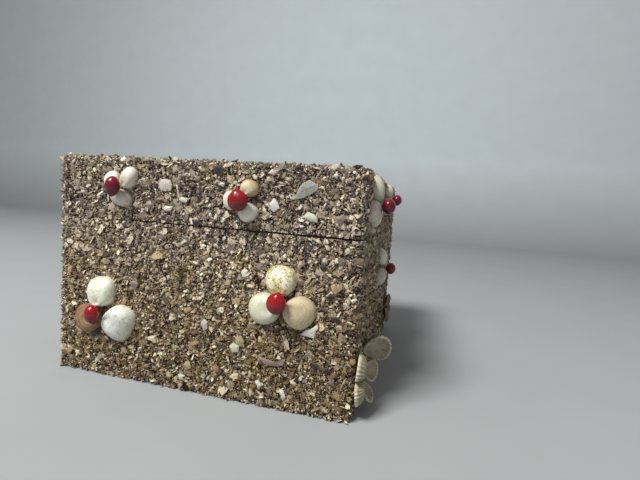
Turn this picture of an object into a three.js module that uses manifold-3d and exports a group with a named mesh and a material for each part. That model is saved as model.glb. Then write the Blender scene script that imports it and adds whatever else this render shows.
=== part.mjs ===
// A keepsake box of thin wood, coated outside with crushed sea shell. Flowers of three whole
// clam valves round a red seed are glued on its walls, and two rosettes of ribbed cockle
// valves stand out from the right-hand wall. The lid lifts off a lip inside the rim.
// Millimetres, +Z up, the front faces -Y, the origin is the middle of the underside.
import * as THREE from "three";
import { mergeVertices } from "three/addons/utils/BufferGeometryUtils.js";
import Module from "manifold-3d";

const wasm = await Module();
wasm.setup();

// ---- driving dimensions ----
const BOX_SIDE = 140; // across and deep, over the coat
const BOX_HEIGHT = 99; // over the coat on the lid
const SEAM_HEIGHT = 72; // where the wood of the lid meets the wood of the body
const COAT_THICKNESS = 2.2; // crushed shell in glue
const COAT_LIFT = 0.4; // the coat stops just above the table
const SEAM_GAP = 0.8; // between the coats of body and lid
const EDGE_RADIUS = 3; // the coat rounds the corners of the box
const WALL = 3.6; // wood
const FLOOR = 4;
const LIP_HEIGHT = 3; // the rim's inner half stands up into the lid
const LIP_THICKNESS = 1.6;
const LIP_PLAY = 0.3;

const GLUE_GAP = 0.3; // between a glued valve and the coat
const VALVE_EDGE = 0.6; // thickness of a clam valve at its margin
const COCKLE_WALL = 1; // thickness of a cockle valve
const UMBO_PLACE = 0.14; // the beak's place, as a share of the valve's length
const CLAM_FLARE = 0.08; // how much wider a valve is towards its open margin
const COCKLE_FLARE = 0.24;
const COCKLE_RIBS = 10;
const COCKLE_RIB_DEPTH = 0.035; // of the margin, as a share of its distance from the beak
const LYING_LEAN = 30; // degrees. A petal that leans out less lies with its dome outward

const AROUND_CLAM = 16; // facets round a valve
const AROUND_COCKLE = 2 * COCKLE_RIBS;
const GROWTH_STEPS = [0.22, 0.52, 0.8, 1]; // rings of facets from beak to margin
const CORNER_STEPS = 5;

// Flowers: "across" and "up" are the seed's place on its face, and "seed" is its size across, up
// and out. Each valve is [its beak end across, and up, from the seed, direction in degrees,
// length, width, height].
const FLOWERS = [
  { name: "front_lid_left", face: "front", across: -35.4, up: 86.2, seed: [6.2, 8.2, 6],
    valves: [[-3.8, -0.4, 120, 7.4, 7.8, 3.2], [1.6, -0.6, 74, 9.6, 7.2, 3.6],
      [-0.4, -1.2, 262, 7.3, 10.9, 3.2]] },
  { name: "front_lid_right", face: "front", across: 21.8, up: 83.6, seed: [8.4, 8.4, 6.2],
    valves: [[-1.6, 0.2, 184, 8, 7.8, 3.2], [0.4, 2.3, 62, 6.6, 7.7, 3.8],
      [-0.2, -0.9, 300, 7.8, 8.3, 3.4]] },
  { name: "front_body_left", face: "front", across: -44.2, up: 30.4, seed: [6.6, 8.3, 6],
    valves: [[-0.1, 2.1, 98, 13.4, 13.9, 5.2], [2.8, -1.5, 335, 13.6, 16.6, 5.4],
      [-0.9, -2.5, 196, 15, 13.3, 4.4]] },
  { name: "front_body_right", face: "front", across: 40.2, up: 46, seed: [8, 8.4, 6.2],
    valves: [[-0.9, 1.4, 92, 12.4, 12.9, 5], [-0.8, -2, 200, 14, 13, 5],
      [1.9, -0.9, 328, 12.7, 13.4, 5]] },
  { name: "right_lid_front", face: "right", across: -50.6, up: 85.4, seed: [7, 6.8, 5.8],
    valves: [[0.1, 1.6, 86, 11.2, 10, 4.2], [-1.6, -0.4, 204, 9, 9, 3.6],
      [1.1, -1.2, 312, 9.2, 9.2, 3.8]] },
  { name: "right_lid_back", face: "right", across: 6, up: 89.4, seed: [6.4, 6.2, 5.4],
    valves: [[-0.2, 1.4, 100, 7.4, 8.4, 3.6], [-1, -0.9, 222, 9.2, 8.8, 3.6],
      [1.3, -0.4, 342, 9.2, 8.8, 3.6]] },
  { name: "right_body", face: "right", across: 1, up: 52.2, seed: [6.2, 6.4, 5.4],
    valves: [[-0.3, 1.6, 100, 9.2, 9.4, 3.8], [-1.3, -1, 220, 10, 9.6, 4],
      [1.5, -0.5, 340, 9.4, 9.2, 3.8]] },
  { name: "left_lid", face: "left", across: 0, up: 85, seed: [7.4, 7.6, 6],
    valves: [[0, 1.4, 90, 9.6, 9, 3.6], [-1.2, -0.7, 210, 9.6, 9, 3.6],
      [1.2, -0.7, 330, 9.6, 9, 3.6]] },
  { name: "left_body", face: "left", across: 0, up: 40, seed: [7.8, 8, 6],
    valves: [[0, 2, 90, 12.6, 12, 4.8], [-1.7, -1, 210, 12.6, 12, 4.8],
      [1.7, -1, 330, 12.6, 12, 4.8]] },
];

// Rosettes on the right-hand wall. Each petal is laid out as a valve is, and has one more number:
// its lean out from the wall in degrees.
const ROSETTES = [
  { name: "rosette_front", across: -58, up: 18,
    petals: [[8, 5, 28, 12.4, 14, 4, 72], [-3.4, 1, 146, 9.6, 10.4, 3.8, 8],
      [-3.4, -4, 218, 9.6, 10.4, 3.8, 8], [0.8, -5.8, 280, 8.8, 8.4, 3, 34],
      [4.4, -1.8, 342, 9, 9, 3, 38]] },
  { name: "rosette_back", across: 50, up: 18, petals: ringOfPetals(5, 3, [7.4, 7, 3, 22]) },
];

function ringOfPetals(count, eye, petal) {
  return Array.from({ length: count }, (_, i) => {
    const direction = 54 + (360 * i) / count;
    const turn = (direction * Math.PI) / 180;
    return [eye * Math.cos(turn), eye * Math.sin(turn), direction, ...petal];
  });
}

// ---- worked out ----
const HALF = BOX_SIDE / 2;
const WOOD_SIDE = BOX_SIDE - 2 * COAT_THICKNESS;
const WOOD_TOP = BOX_HEIGHT - COAT_THICKNESS;
const INSIDE = WOOD_SIDE - 2 * WALL;
const LIP_SIDE = INSIDE + 2 * LIP_THICKNESS;
const RADIANS = Math.PI / 180;

// ---- materials ----
const wood = new THREE.MeshStandardMaterial({ color: 0x6b4a2f, roughness: 0.7 });
const crushedShell = new THREE.MeshStandardMaterial({ color: 0x9a8770, roughness: 0.85 });
const clam = new THREE.MeshStandardMaterial({ color: 0xe6e0cf, roughness: 0.45 });
const cockle = new THREE.MeshStandardMaterial({ color: 0xa8987c, roughness: 0.6 });
const seedCoat = new THREE.MeshStandardMaterial({ color: 0xb3141a, roughness: 0.15 });

// ---- solids ----
// A closed geometry as a manifold-3d solid.
function solidOf(geometry) {
  const bare = geometry.clone();
  bare.deleteAttribute("normal");
  bare.deleteAttribute("uv");
  const merged = mergeVertices(bare, 1e-4);
  return new wasm.Manifold(
    new wasm.Mesh({
      numProp: 3,
      vertProperties: merged.attributes.position.array,
      triVerts: new Uint32Array(merged.index.array),
    }),
  );
}

// A manifold-3d solid as a named mesh.
function meshOf(name, solid, material) {
  const { numProp, numVert, vertProperties, triVerts } = solid.getMesh();
  const places = new Float32Array(numVert * 3);
  for (let i = 0; i < numVert; i++) {
    places.set(vertProperties.subarray(i * numProp, i * numProp + 3), i * 3);
  }
  const geometry = new THREE.BufferGeometry()
    .setAttribute("position", new THREE.BufferAttribute(places, 3))
    .setIndex(new THREE.BufferAttribute(triVerts, 1));
  return named(name, geometry, material);
}

function named(name, geometry, material) {
  const mesh = new THREE.Mesh(geometry, material);
  mesh.name = name;
  return mesh;
}

// A square block of wood standing on the box's axis between two heights.
function block(side, low, high) {
  return solidOf(new THREE.BoxGeometry(side, side, high - low).translate(0, 0, (low + high) / 2));
}

// The same with round upright corners and, if asked, a rounded top and bottom edge.
function roundedBlock(side, low, high, bevel) {
  const flat = side / 2 - bevel;
  const outline = new THREE.Shape();
  const arc = flat - EDGE_RADIUS;
  for (let corner = 0; corner < 4; corner++) {
    const turn = corner * 90 * RADIANS;
    const centre = new THREE.Vector2(arc, arc).rotateAround(new THREE.Vector2(), turn);
    outline.absarc(centre.x, centre.y, EDGE_RADIUS, turn, turn + Math.PI / 2, false);
  }
  outline.closePath();
  const geometry = new THREE.ExtrudeGeometry(outline, {
    depth: high - low - 2 * bevel,
    curveSegments: CORNER_STEPS,
    bevelEnabled: bevel > 0,
    bevelThickness: bevel,
    bevelSize: bevel,
    bevelSegments: CORNER_STEPS - 2,
  });
  return solidOf(geometry.translate(0, 0, low + bevel));
}

// Walls and floor in one, with the rim's inner half standing up as a lip.
function boxBody() {
  const lipTop = SEAM_HEIGHT + LIP_HEIGHT;
  return block(WOOD_SIDE, 0, SEAM_HEIGHT)
    .add(block(LIP_SIDE, FLOOR, lipTop))
    .subtract(block(INSIDE, FLOOR, lipTop + 1));
}

// The lid is a tray turned over. Its rim is cut back inside to pass the lip.
function boxLid() {
  const lipRoom = LIP_SIDE + 2 * LIP_PLAY;
  return block(WOOD_SIDE, SEAM_HEIGHT, WOOD_TOP)
    .subtract(block(INSIDE, SEAM_HEIGHT - 1, WOOD_TOP - WALL))
    .subtract(block(lipRoom, SEAM_HEIGHT - 1, SEAM_HEIGHT + LIP_HEIGHT + LIP_PLAY));
}

function bodyCoat() {
  const top = SEAM_HEIGHT - SEAM_GAP / 2;
  return roundedBlock(BOX_SIDE, COAT_LIFT, top, 0).subtract(block(WOOD_SIDE, -1, top + 1));
}

// The coat wraps the lid's top edge too: a block rounded at both ends, with the lower end cut off.
function lidCoat() {
  const low = SEAM_HEIGHT + SEAM_GAP / 2;
  const cutAway = 2 * EDGE_RADIUS;
  return roundedBlock(BOX_SIDE, low - cutAway, BOX_HEIGHT, COAT_THICKNESS)
    .subtract(block(BOX_SIDE + 2, low - cutAway - 1, low))
    .subtract(block(WOOD_SIDE, low - 1, WOOD_TOP));
}

// ---- valves ----
// Height of a valve at growth s, from 0 at the beak to 1 at the margin, as a share of its height.
function swell(s) {
  const dome = Math.pow(1 - Math.pow(s, 2.4), 0.62);
  const beakDrop = 1 - 0.28 * Math.pow(1 - s, 3);
  return (dome * beakDrop) / 0.875;
}

// The ring of points at growth s. The beak end is at y = 0 and the open margin at y = length.
function growthRing({ length, width, height, flare, ribs = 0 }, s, around, edge) {
  const beak = UMBO_PLACE * length;
  return Array.from({ length: around }, (_, i) => {
    const angle = (2 * Math.PI * i) / around;
    const rib = ribs ? 1 + COCKLE_RIB_DEPTH * s * Math.cos(ribs * angle) : 1;
    const x = (width / 2) * Math.sin(angle) * (1 + flare * Math.cos(angle));
    const y = (length / 2) * (1 + Math.cos(angle));
    return new THREE.Vector3(
      s * x * rib,
      beak + s * (y - beak) * rib,
      edge + (height - edge) * swell(s),
    );
  });
}

// Joins rings of points into one closed skin. The first and last rings are single points.
function skinOf(rings) {
  const places = [];
  const starts = rings.map((ring) => {
    const start = places.length / 3;
    ring.forEach((p) => places.push(p.x, p.y, p.z));
    return start;
  });
  const faces = [];
  for (let r = 0; r + 1 < rings.length; r++) {
    const count = Math.max(rings[r].length, rings[r + 1].length);
    const at = (ring, i) => starts[ring] + (rings[ring].length === 1 ? 0 : i % count);
    for (let i = 0; i < count; i++) {
      if (rings[r].length > 1) faces.push(at(r, i), at(r, i + 1), at(r + 1, i));
      if (rings[r + 1].length > 1) faces.push(at(r + 1, i), at(r, i + 1), at(r + 1, i + 1));
    }
  }
  return new THREE.BufferGeometry()
    .setAttribute("position", new THREE.Float32BufferAttribute(places, 3))
    .setIndex(faces);
}

const beakPoint = (valve, edge) => [
  new THREE.Vector3(0, UMBO_PLACE * valve.length, edge + (valve.height - edge) * swell(0)),
];

// A clam valve glued down on its margin: its hollow is shut, so it is solid with a flat back.
function clamGeometry(valve) {
  const rings = GROWTH_STEPS.map((s) => growthRing(valve, s, AROUND_CLAM, VALVE_EDGE));
  const back = rings.at(-1).map((p) => p.clone().setZ(0));
  const middle = [new THREE.Vector3(0, valve.length / 2, 0)];
  return skinOf([beakPoint(valve, VALVE_EDGE), ...rings, back, middle]);
}

// A cockle valve with ribs, open and thin: an outer skin and an inner one meet at the margin.
function cockleGeometry(outer) {
  const inner = {
    ...outer,
    length: outer.length - 2 * COCKLE_WALL,
    width: outer.width - 2 * COCKLE_WALL,
    height: outer.height - COCKLE_WALL,
  };
  const outside = GROWTH_STEPS.map((s) => growthRing(outer, s, AROUND_COCKLE, 0));
  const inside = GROWTH_STEPS.map((s) => growthRing(inner, s, AROUND_COCKLE, 0));
  const shift = new THREE.Vector3(0, COCKLE_WALL, 0);
  inside.forEach((ring) => ring.forEach((p) => p.add(shift)));
  const innerBeak = beakPoint(inner, 0).map((p) => p.add(shift));
  return skinOf([beakPoint(outer, 0), ...outside, ...inside.reverse(), innerBeak]);
}

// ---- putting things on the faces ----
// A group whose X runs across a face as seen from outside, Y is up and Z points out of it.
function faceGroup(out) {
  const up = new THREE.Vector3(0, 0, 1);
  const group = new THREE.Group();
  group.matrix.makeBasis(new THREE.Vector3().crossVectors(up, out), up, out);
  group.matrix.decompose(group.position, group.quaternion, group.scale);
  group.position.copy(out).multiplyScalar(HALF);
  return group;
}

// How high a seed in the middle of a flower comes to rest on a valve under it.
function seedRest(mesh, [across, tall, thick]) {
  const places = mesh.geometry.attributes.position;
  let rest = 0;
  for (let i = 0; i < places.count; i++) {
    const place = new THREE.Vector3().fromBufferAttribute(places, i).applyMatrix4(mesh.matrix);
    const out = Math.hypot((2 * place.x) / across, (2 * place.y) / tall);
    if (out < 1) rest = Math.max(rest, place.z + (thick / 2) * Math.sqrt(1 - out * out));
  }
  return rest + GLUE_GAP;
}

function flower({ name, across, up, seed, valves }) {
  const group = new THREE.Group();
  group.position.set(across, up, 0);
  valves.forEach(([beakAcross, beakUp, direction, length, width, height], i) => {
    const valve = { length, width, height, flare: CLAM_FLARE };
    const mesh = named(`${name}_valve_${i + 1}`, clamGeometry(valve), clam);
    mesh.position.set(beakAcross, beakUp, GLUE_GAP);
    mesh.rotation.z = (direction - 90) * RADIANS;
    mesh.updateMatrix();
    group.add(mesh);
  });
  const lens = named(`${name}_seed`, new THREE.SphereGeometry(0.5, 12, 8), seedCoat);
  lens.geometry.scale(...seed);
  lens.position.z = Math.max(...group.children.map((valve) => seedRest(valve, seed)));
  group.add(lens);
  return group;
}

// A steep petal stands on its beak, with its hollow side towards the middle of the rosette.
function rosette({ name, across, up, petals }) {
  const group = new THREE.Group();
  group.position.set(across, up, 0);
  petals.forEach(([beakAcross, beakUp, direction, length, width, height, lean], i) => {
    const valve = { length, width, height, flare: COCKLE_FLARE, ribs: COCKLE_RIBS };
    const mesh = named(`${name}_petal_${i + 1}`, cockleGeometry(valve), cockle);
    const flip = lean > LYING_LEAN ? Math.PI : 0;
    mesh.rotation.set(lean * RADIANS, flip, (direction - 90) * RADIANS, "ZXY");
    mesh.updateMatrixWorld();
    const lowest = new THREE.Box3().setFromObject(mesh, true).min.z;
    mesh.position.set(beakAcross, beakUp, GLUE_GAP - lowest);
    group.add(mesh);
  });
  return group;
}

// ---- the box ----
const box = new THREE.Group();
box.add(
  meshOf("box_body", boxBody(), wood),
  meshOf("box_lid", boxLid(), wood),
  meshOf("body_shell_coat", bodyCoat(), crushedShell),
  meshOf("lid_shell_coat", lidCoat(), crushedShell),
);

const faces = {
  front: faceGroup(new THREE.Vector3(0, -1, 0)),
  right: faceGroup(new THREE.Vector3(1, 0, 0)),
  left: faceGroup(new THREE.Vector3(-1, 0, 0)),
};
FLOWERS.forEach((each) => faces[each.face].add(flower(each)));
ROSETTES.forEach((each) => faces.right.add(rosette(each)));
box.add(...Object.values(faces));

export default box;
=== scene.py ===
# %% [markdown]
# # A keepsake box coated in crushed sea shell
#
# The real object is a thin wooden box with a lift-off lid. Its maker brushed glue on the outside,
# pressed it into crushed shell, and then glued on small flowers: three whole clam valves round a
# glossy red seed. Two rosettes of ribbed cockle valves stand near the table on the right-hand wall.
#
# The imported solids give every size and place. This lesson keeps the wood, and replaces the smooth
# coat, valves and seeds with fine meshes made by formulas, each riding on the box's one body.

# %% The frame and its box
import math
from functools import partial

import bpy
import numpy as np
from mathutils import Matrix, Vector


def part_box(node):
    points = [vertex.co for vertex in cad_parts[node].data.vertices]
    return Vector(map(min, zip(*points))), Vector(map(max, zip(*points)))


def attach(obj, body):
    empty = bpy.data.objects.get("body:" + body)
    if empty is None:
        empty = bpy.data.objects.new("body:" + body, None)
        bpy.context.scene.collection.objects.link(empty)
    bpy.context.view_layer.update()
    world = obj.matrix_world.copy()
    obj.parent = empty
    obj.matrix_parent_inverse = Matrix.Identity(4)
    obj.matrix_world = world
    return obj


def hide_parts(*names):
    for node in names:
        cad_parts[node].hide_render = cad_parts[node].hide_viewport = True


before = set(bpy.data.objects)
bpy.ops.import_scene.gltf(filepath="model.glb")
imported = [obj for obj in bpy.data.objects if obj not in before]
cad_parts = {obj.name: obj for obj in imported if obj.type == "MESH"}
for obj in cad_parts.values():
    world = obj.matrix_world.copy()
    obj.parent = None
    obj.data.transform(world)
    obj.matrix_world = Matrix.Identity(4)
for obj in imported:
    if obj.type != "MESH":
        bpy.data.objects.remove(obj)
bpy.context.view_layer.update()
BODY = "root"
MM = 0.001
print("packed pieces:", len(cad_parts))

# %% [markdown]
# ## Sizes
#
# The box is built in millimetres, as a maker measures it, and turned to metres when a mesh is made.
# The outside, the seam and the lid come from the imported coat, so they can't drift from the solids.

# %% Sizes of the box, in millimetres
body_coat_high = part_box("body_shell_coat")[1]
lid_coat_low, lid_coat_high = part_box("lid_shell_coat")
HALF = body_coat_high.x / MM
SEAM = (body_coat_high.z + lid_coat_low.z) / 2 / MM
TOP = lid_coat_high.z / MM
COAT = 2.2
EDGE_RADIUS = 3.0
TOP_RADIUS = COAT
print(f"half side {HALF:.1f} mm, seam at {SEAM:.1f} mm, top at {TOP:.1f} mm")

# %% The four walls, each with its outward direction
UP = np.array([0.0, 0.0, 1.0])
WALLS = {
    "front": np.array([0.0, -1.0, 0.0]),
    "right": np.array([1.0, 0.0, 0.0]),
    "back": np.array([0.0, 1.0, 0.0]),
    "left": np.array([-1.0, 0.0, 0.0]),
}


def wall_axes(wall):
    """Across, up and out of a wall, for someone who stands in front of it."""
    out = WALLS[wall]
    return np.cross(UP, out), UP, out


for wall in WALLS:
    print("whoever looks at the", wall, "wall has to their right", wall_axes(wall)[0])

# %% [markdown]
# ## A mesh from arrays
#
# The coat alone has tens of thousands of flakes, too many for an operator or a modifier on each.
# Arrays of points and faces make one mesh in a blink. Each point can carry marks, such as which
# flake it belongs to, and the materials read those marks to colour flake by flake.

# %% A piece of the object from points, faces and marks
def facing_out(points, faces):
    """The same triangles, turned so that a closed skin faces outward."""
    first, second, third = (points[faces[:, i]] for i in range(3))
    volume = np.einsum("ij,ij->", first, np.cross(second, third))
    return faces if volume > 0 else faces[:, ::-1]


def shell_piece(name, points, faces, finish, nodes, marks=None, flat_map=None, smooth=False):
    """A mesh piece in the row frame that rides on the box. points are in millimetres."""
    mesh = bpy.data.meshes.new(name)
    mesh.vertices.add(len(points))
    mesh.vertices.foreach_set("co", (points * MM).astype(np.float32).ravel())
    mesh.loops.add(faces.size)
    mesh.loops.foreach_set("vertex_index", faces.astype(np.int32).ravel())
    mesh.polygons.add(len(faces))
    mesh.polygons.foreach_set("loop_start", np.arange(0, faces.size, faces.shape[1], dtype=np.int32))
    mesh.polygons.foreach_set("use_smooth", np.full(len(faces), smooth))
    for label, values in (marks or {}).items():
        attribute = mesh.attributes.new(label, "FLOAT", "POINT")
        attribute.data.foreach_set("value", np.asarray(values, np.float32).ravel())
    if flat_map is not None:
        layer = mesh.uv_layers.new(name="OFBake")
        layer.data.foreach_set("uv", flat_map.astype(np.float32).ravel())
    mesh.update(calc_edges=True)
    mesh.materials.append(finish)
    piece = bpy.data.objects.new(name, mesh)
    bpy.context.scene.collection.objects.link(piece)
    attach(piece, BODY)
    if nodes:
        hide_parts(*nodes)
    return piece


# %% [markdown]
# ## Small tools for finishes
#
# Every finish is a short recipe of nodes. These helpers keep a recipe to one line a step:
# a mark from the mesh, a noise at a stated size in millimetres, a ramp, a mix and arithmetic.

# %% Helpers that add one node each
def new_finish(name):
    """An empty material with its tree and its shader."""
    finish = bpy.data.materials.new(name)
    finish.use_nodes = True
    return finish, finish.node_tree, finish.node_tree.nodes["Principled BSDF"]


def mark(tree, name):
    """One of the marks that a mesh carries on its points."""
    node = tree.nodes.new("ShaderNodeAttribute")
    node.attribute_name = name
    return node.outputs["Fac"]


def noise(tree, millimetres, detail=3.0, rough=0.55, stretch=(1, 1, 1)):
    """A cloud whose lumps are about that many millimetres across."""
    place = tree.nodes.new("ShaderNodeTexCoord")
    scaled = tree.nodes.new("ShaderNodeMapping")
    scaled.inputs["Scale"].default_value = [s / (millimetres * MM) for s in stretch]
    cloud = tree.nodes.new("ShaderNodeTexNoise")
    cloud.inputs["Scale"].default_value = 1.0
    cloud.inputs["Detail"].default_value = detail
    cloud.inputs["Roughness"].default_value = rough
    tree.links.new(place.outputs["Object"], scaled.inputs["Vector"])
    tree.links.new(scaled.outputs["Vector"], cloud.inputs["Vector"])
    return cloud.outputs["Fac"]


def opaque(colour):
    """A colour for a ramp. A plain number stands for a grey."""
    return (*colour, 1) if isinstance(colour, tuple) else (colour, colour, colour, 1)


def ramp(tree, source, stops, steps=False):
    """Turns a number into a colour. stops are (place, colour or grey)."""
    node = tree.nodes.new("ShaderNodeValToRGB")
    node.color_ramp.interpolation = "CONSTANT" if steps else "LINEAR"
    elements = node.color_ramp.elements
    while len(elements) > 1:
        elements.remove(elements[-1])
    elements[0].position, elements[0].color = stops[0][0], opaque(stops[0][1])
    for place, colour in stops[1:]:
        elements.new(place).color = opaque(colour)
    tree.links.new(source, node.inputs["Fac"])
    return node.outputs["Color"]


def plug(tree, socket, value):
    """Sets a socket to a number or colour, or links it."""
    if isinstance(value, bpy.types.NodeSocket):
        tree.links.new(value, socket)
    elif isinstance(value, tuple):
        socket.default_value = (*value, 1)
    else:
        socket.default_value = value


def mix(tree, share, first, second, way="MIX"):
    """The first colour where share is 0, the second where it is 1."""
    node = tree.nodes.new("ShaderNodeMix")
    node.data_type = "RGBA"
    node.blend_type = way
    plug(tree, node.inputs["Factor"], share)
    plug(tree, node.inputs["A"], first)
    plug(tree, node.inputs["B"], second)
    return node.outputs["Result"]


def maths(tree, way, first, second=0.0):
    """One step of arithmetic, such as ADD or MULTIPLY. A SINE has no second number."""
    node = tree.nodes.new("ShaderNodeMath")
    node.operation = way
    plug(tree, node.inputs[0], first)
    plug(tree, node.inputs[1], second)
    return node.outputs["Value"]


def bumps(tree, height, depth_mm, shader):
    """Fine relief, too small for the mesh."""
    node = tree.nodes.new("ShaderNodeBump")
    node.inputs["Distance"].default_value = depth_mm * MM
    plug(tree, node.inputs["Height"], height)
    tree.links.new(node.outputs["Normal"], shader.inputs["Normal"])


# %% [markdown]
# ## The finish of the crushed shell
#
# Crushed shell is a mix of many shells, and it isn't evenly stirred: here a patch is mauve from
# broken mussel, there it is pinkish, tan or olive. So a slow cloud picks the ground colour, and
# each flake's own mark, tone, only shifts it. Flakes with a high tone have a colour of their own:
# olive, mauve, red-brown, cream, pinkish or white. The few with a very low one are dark purple
# mussel. A second mark, shade, makes a flake lighter or darker: partly by its own tone, partly as
# painted shade on the deepest flakes, the glue and the hollows, and as painted light on the humps.
# The very light ones turn towards bone. A third, batch, runs from 0 on the lid, which is more
# mauve, to 1 at the foot, which is more olive and painted darker, as painted shade.

# %% Ground colours of the patches, and the flakes with a colour of their own
PATCHES = [
    (0.24, (0.230, 0.172, 0.152)),
    (0.34, (0.330, 0.248, 0.192)),
    (0.43, (0.450, 0.362, 0.285)),
    (0.51, (0.490, 0.385, 0.270)),
    (0.60, (0.430, 0.335, 0.215)),
    (0.68, (0.400, 0.322, 0.180)),
    (0.78, (0.500, 0.415, 0.250)),
]
# Colours multiplied in from lid to foot: the warmer, olive turn is the shell's own, the darkening is painted
# shade.
BATCH_TINTS_AND_SHADE = [(0.10, (0.94, 0.93, 0.93)), (0.55, (0.88, 0.80, 0.66)), (0.95, (0.58, 0.50, 0.36))]
DARK_FLAKE = (0.100, 0.062, 0.066)
SAND_TINT = [(0.10, (1.0, 1.0, 1.0)), (0.70, (1.0, 0.965, 0.89))]
OWN_COLOURS = [
    (0.00, (0.40, 0.345, 0.185)),
    (0.745, (0.34, 0.24, 0.245)),
    (0.785, (0.38, 0.235, 0.14)),
    (0.81, (0.66, 0.59, 0.44)),
    (0.87, (0.62, 0.53, 0.46)),
    (0.91, (0.77, 0.70, 0.56)),
    (0.97, (0.88, 0.84, 0.73)),
]
DARK_BELOW, OWN_FROM = 0.05, 0.70
PATCH_SIZE, GRAIN_SIZE = 9, 0.55
MIDDLE_TONE, TONE_SHIFT = 0.45, 0.32
MIDDLE_BATCH, BATCH_SHIFT = 0.55, 0.08
BLEACHED_FROM, BLEACHING, BONE = 1.1, 0.6, (0.62, 0.56, 0.44)


# %% The finish itself
def crushed_shell_finish():
    """Patches of ground colour, flakes with a colour of their own, and fine grain."""
    finish, tree, shader = new_finish("crushed_shell")
    tone, batch_and_shade = mark(tree, "tone"), mark(tree, "batch_and_shade")
    own_shift = maths(tree, "MULTIPLY", maths(tree, "SUBTRACT", tone, MIDDLE_TONE), TONE_SHIFT)
    batch_shift = maths(tree, "MULTIPLY", maths(tree, "SUBTRACT", batch_and_shade, MIDDLE_BATCH), BATCH_SHIFT)
    shift = maths(tree, "ADD", own_shift, batch_shift)
    place = maths(tree, "ADD", noise(tree, PATCH_SIZE, 2, 0.6), shift)
    own_colour = ramp(tree, tone, OWN_COLOURS, steps=True)
    has_own = maths(tree, "GREATER_THAN", tone, OWN_FROM)
    # Painted shade: this ramp darkens the colour towards the foot, while it also turns it more olive.
    colour = mix(tree, 1.0, ramp(tree, place, PATCHES), ramp(tree, batch_and_shade, BATCH_TINTS_AND_SHADE), "MULTIPLY")
    colour = mix(tree, has_own, colour, own_colour)
    colour = mix(tree, maths(tree, "LESS_THAN", tone, DARK_BELOW), colour, DARK_FLAKE)
    colour = mix(tree, 1.0, colour, ramp(tree, batch_and_shade, SAND_TINT), "MULTIPLY")
    grain = noise(tree, GRAIN_SIZE, 4, 0.7)
    grain = ramp(tree, grain, [(0.30, 0.45), (0.52, 1.0), (0.72, 1.35)])
    colour = mix(tree, 0.85, colour, grain, "MULTIPLY")
    # shade: each flake's own lightness, with painted shade deep down and in hollows and painted light on
    # humps.
    shade = mark(tree, "shade")
    colour = mix(tree, 1.0, colour, shade, "MULTIPLY")
    bleached = maths(tree, "MULTIPLY", maths(tree, "SUBTRACT", shade, BLEACHED_FROM), BLEACHING)
    colour = mix(tree, bleached, colour, BONE)
    plug(tree, shader.inputs["Base Color"], colour)
    wet = ramp(tree, noise(tree, 2.2, 3), [(0.35, 0.40), (0.65, 0.75)])
    plug(tree, shader.inputs["Roughness"], wet)
    shader.inputs["Specular IOR Level"].default_value = 0.45
    bumps(tree, noise(tree, 0.45, 4, 0.7), 0.22, shader)
    return finish


crushed_shell = crushed_shell_finish()
print(crushed_shell.name, "takes", len(crushed_shell.node_tree.nodes), "nodes")

# %% [markdown]
# ## Flakes
#
# There are two kinds. A splinter is the smallest closed chip there is: four corners, with one
# diagonal raised and the other lowered, so that it folds along both. A plate is a ring of corners
# with a low point above and below it: thin, closed and angular. Tilted at random and pressed
# together by the thousand they look like crushed shell, and an array of them costs one call.

# %% How uneven a flake is, as shares of its own size or of a step round its rim
# A corner slips along the rim and reaches more or less far out, and the flake is more or less narrow.
SLIP, REACH, NARROW = 0.33, (0.62, 1.12), (0.35, 1.0)
# A splinter's corners stand that many thicknesses above and below its middle.
FOLD = (0.3, 0.8)
# A plate's rim waves, and its two middle points stand off the rim and drift sideways.
WAVY_RIM, CROWN, DRIFT = 0.35, (0.5, 1.0), 0.35


# %% Many flakes at once
def flakes(rng, places, outward, sizes, tilt, corners, thick):
    """Points (flake, corner, 3) of thin chips that lie about square to outward."""
    count = len(places)
    lean = outward + tilt * rng.normal(size=(count, 3))
    lean /= np.linalg.norm(lean, axis=1, keepdims=True)
    side = np.cross(lean, rng.normal(size=(count, 3)))
    side /= np.linalg.norm(side, axis=1, keepdims=True)
    other = np.cross(lean, side)
    turn = 2 * np.pi * (np.arange(corners) + rng.uniform(-SLIP, SLIP, (count, corners))) / corners
    reach = sizes[:, None] * rng.uniform(*REACH, (count, corners))
    narrow = rng.uniform(*NARROW, (count, 1))
    depth = (sizes * thick)[:, None, None] * lean[:, None]
    ring = places[:, None] + (reach * np.cos(turn))[..., None] * side[:, None]
    ring = ring + (reach * narrow * np.sin(turn))[..., None] * other[:, None]
    if corners == 4:
        return ring + depth * np.array([1, -1, 1, -1])[:, None] * rng.uniform(*FOLD, (count, 4, 1))
    ring = ring + depth * rng.uniform(-WAVY_RIM, WAVY_RIM, (count, corners, 1))
    drift = DRIFT * sizes[:, None, None] * rng.uniform(-1, 1, (count, 1, 1)) * side[:, None]
    above = places[:, None] + depth * rng.uniform(*CROWN, (count, 1, 1)) + drift
    below = places[:, None] - depth * rng.uniform(*CROWN, (count, 1, 1)) - drift
    return np.concatenate([ring, above, below], axis=1)


# %% [markdown]
# ## The flakes' flat map
#
# A finish is laid out on a flat map of the mesh. The map gives every flake a small square of its
# own, the upper faces in its left half and the lower faces in its right half, so that no two
# flakes share a place. The bed of glue has two thin strips on the right of the map.

# %% The triangles of one flake, and their places in its square
LEFT_HALF, RIGHT_HALF = np.array([0.25, 0.5]), np.array([0.75, 0.5])
HALF_REACH = np.array([0.21, 0.42])
FLAKES_WIDE, STRIP_WIDE, STRIPS_AT = 0.94, 0.025, (0.945, 0.973)


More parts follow.
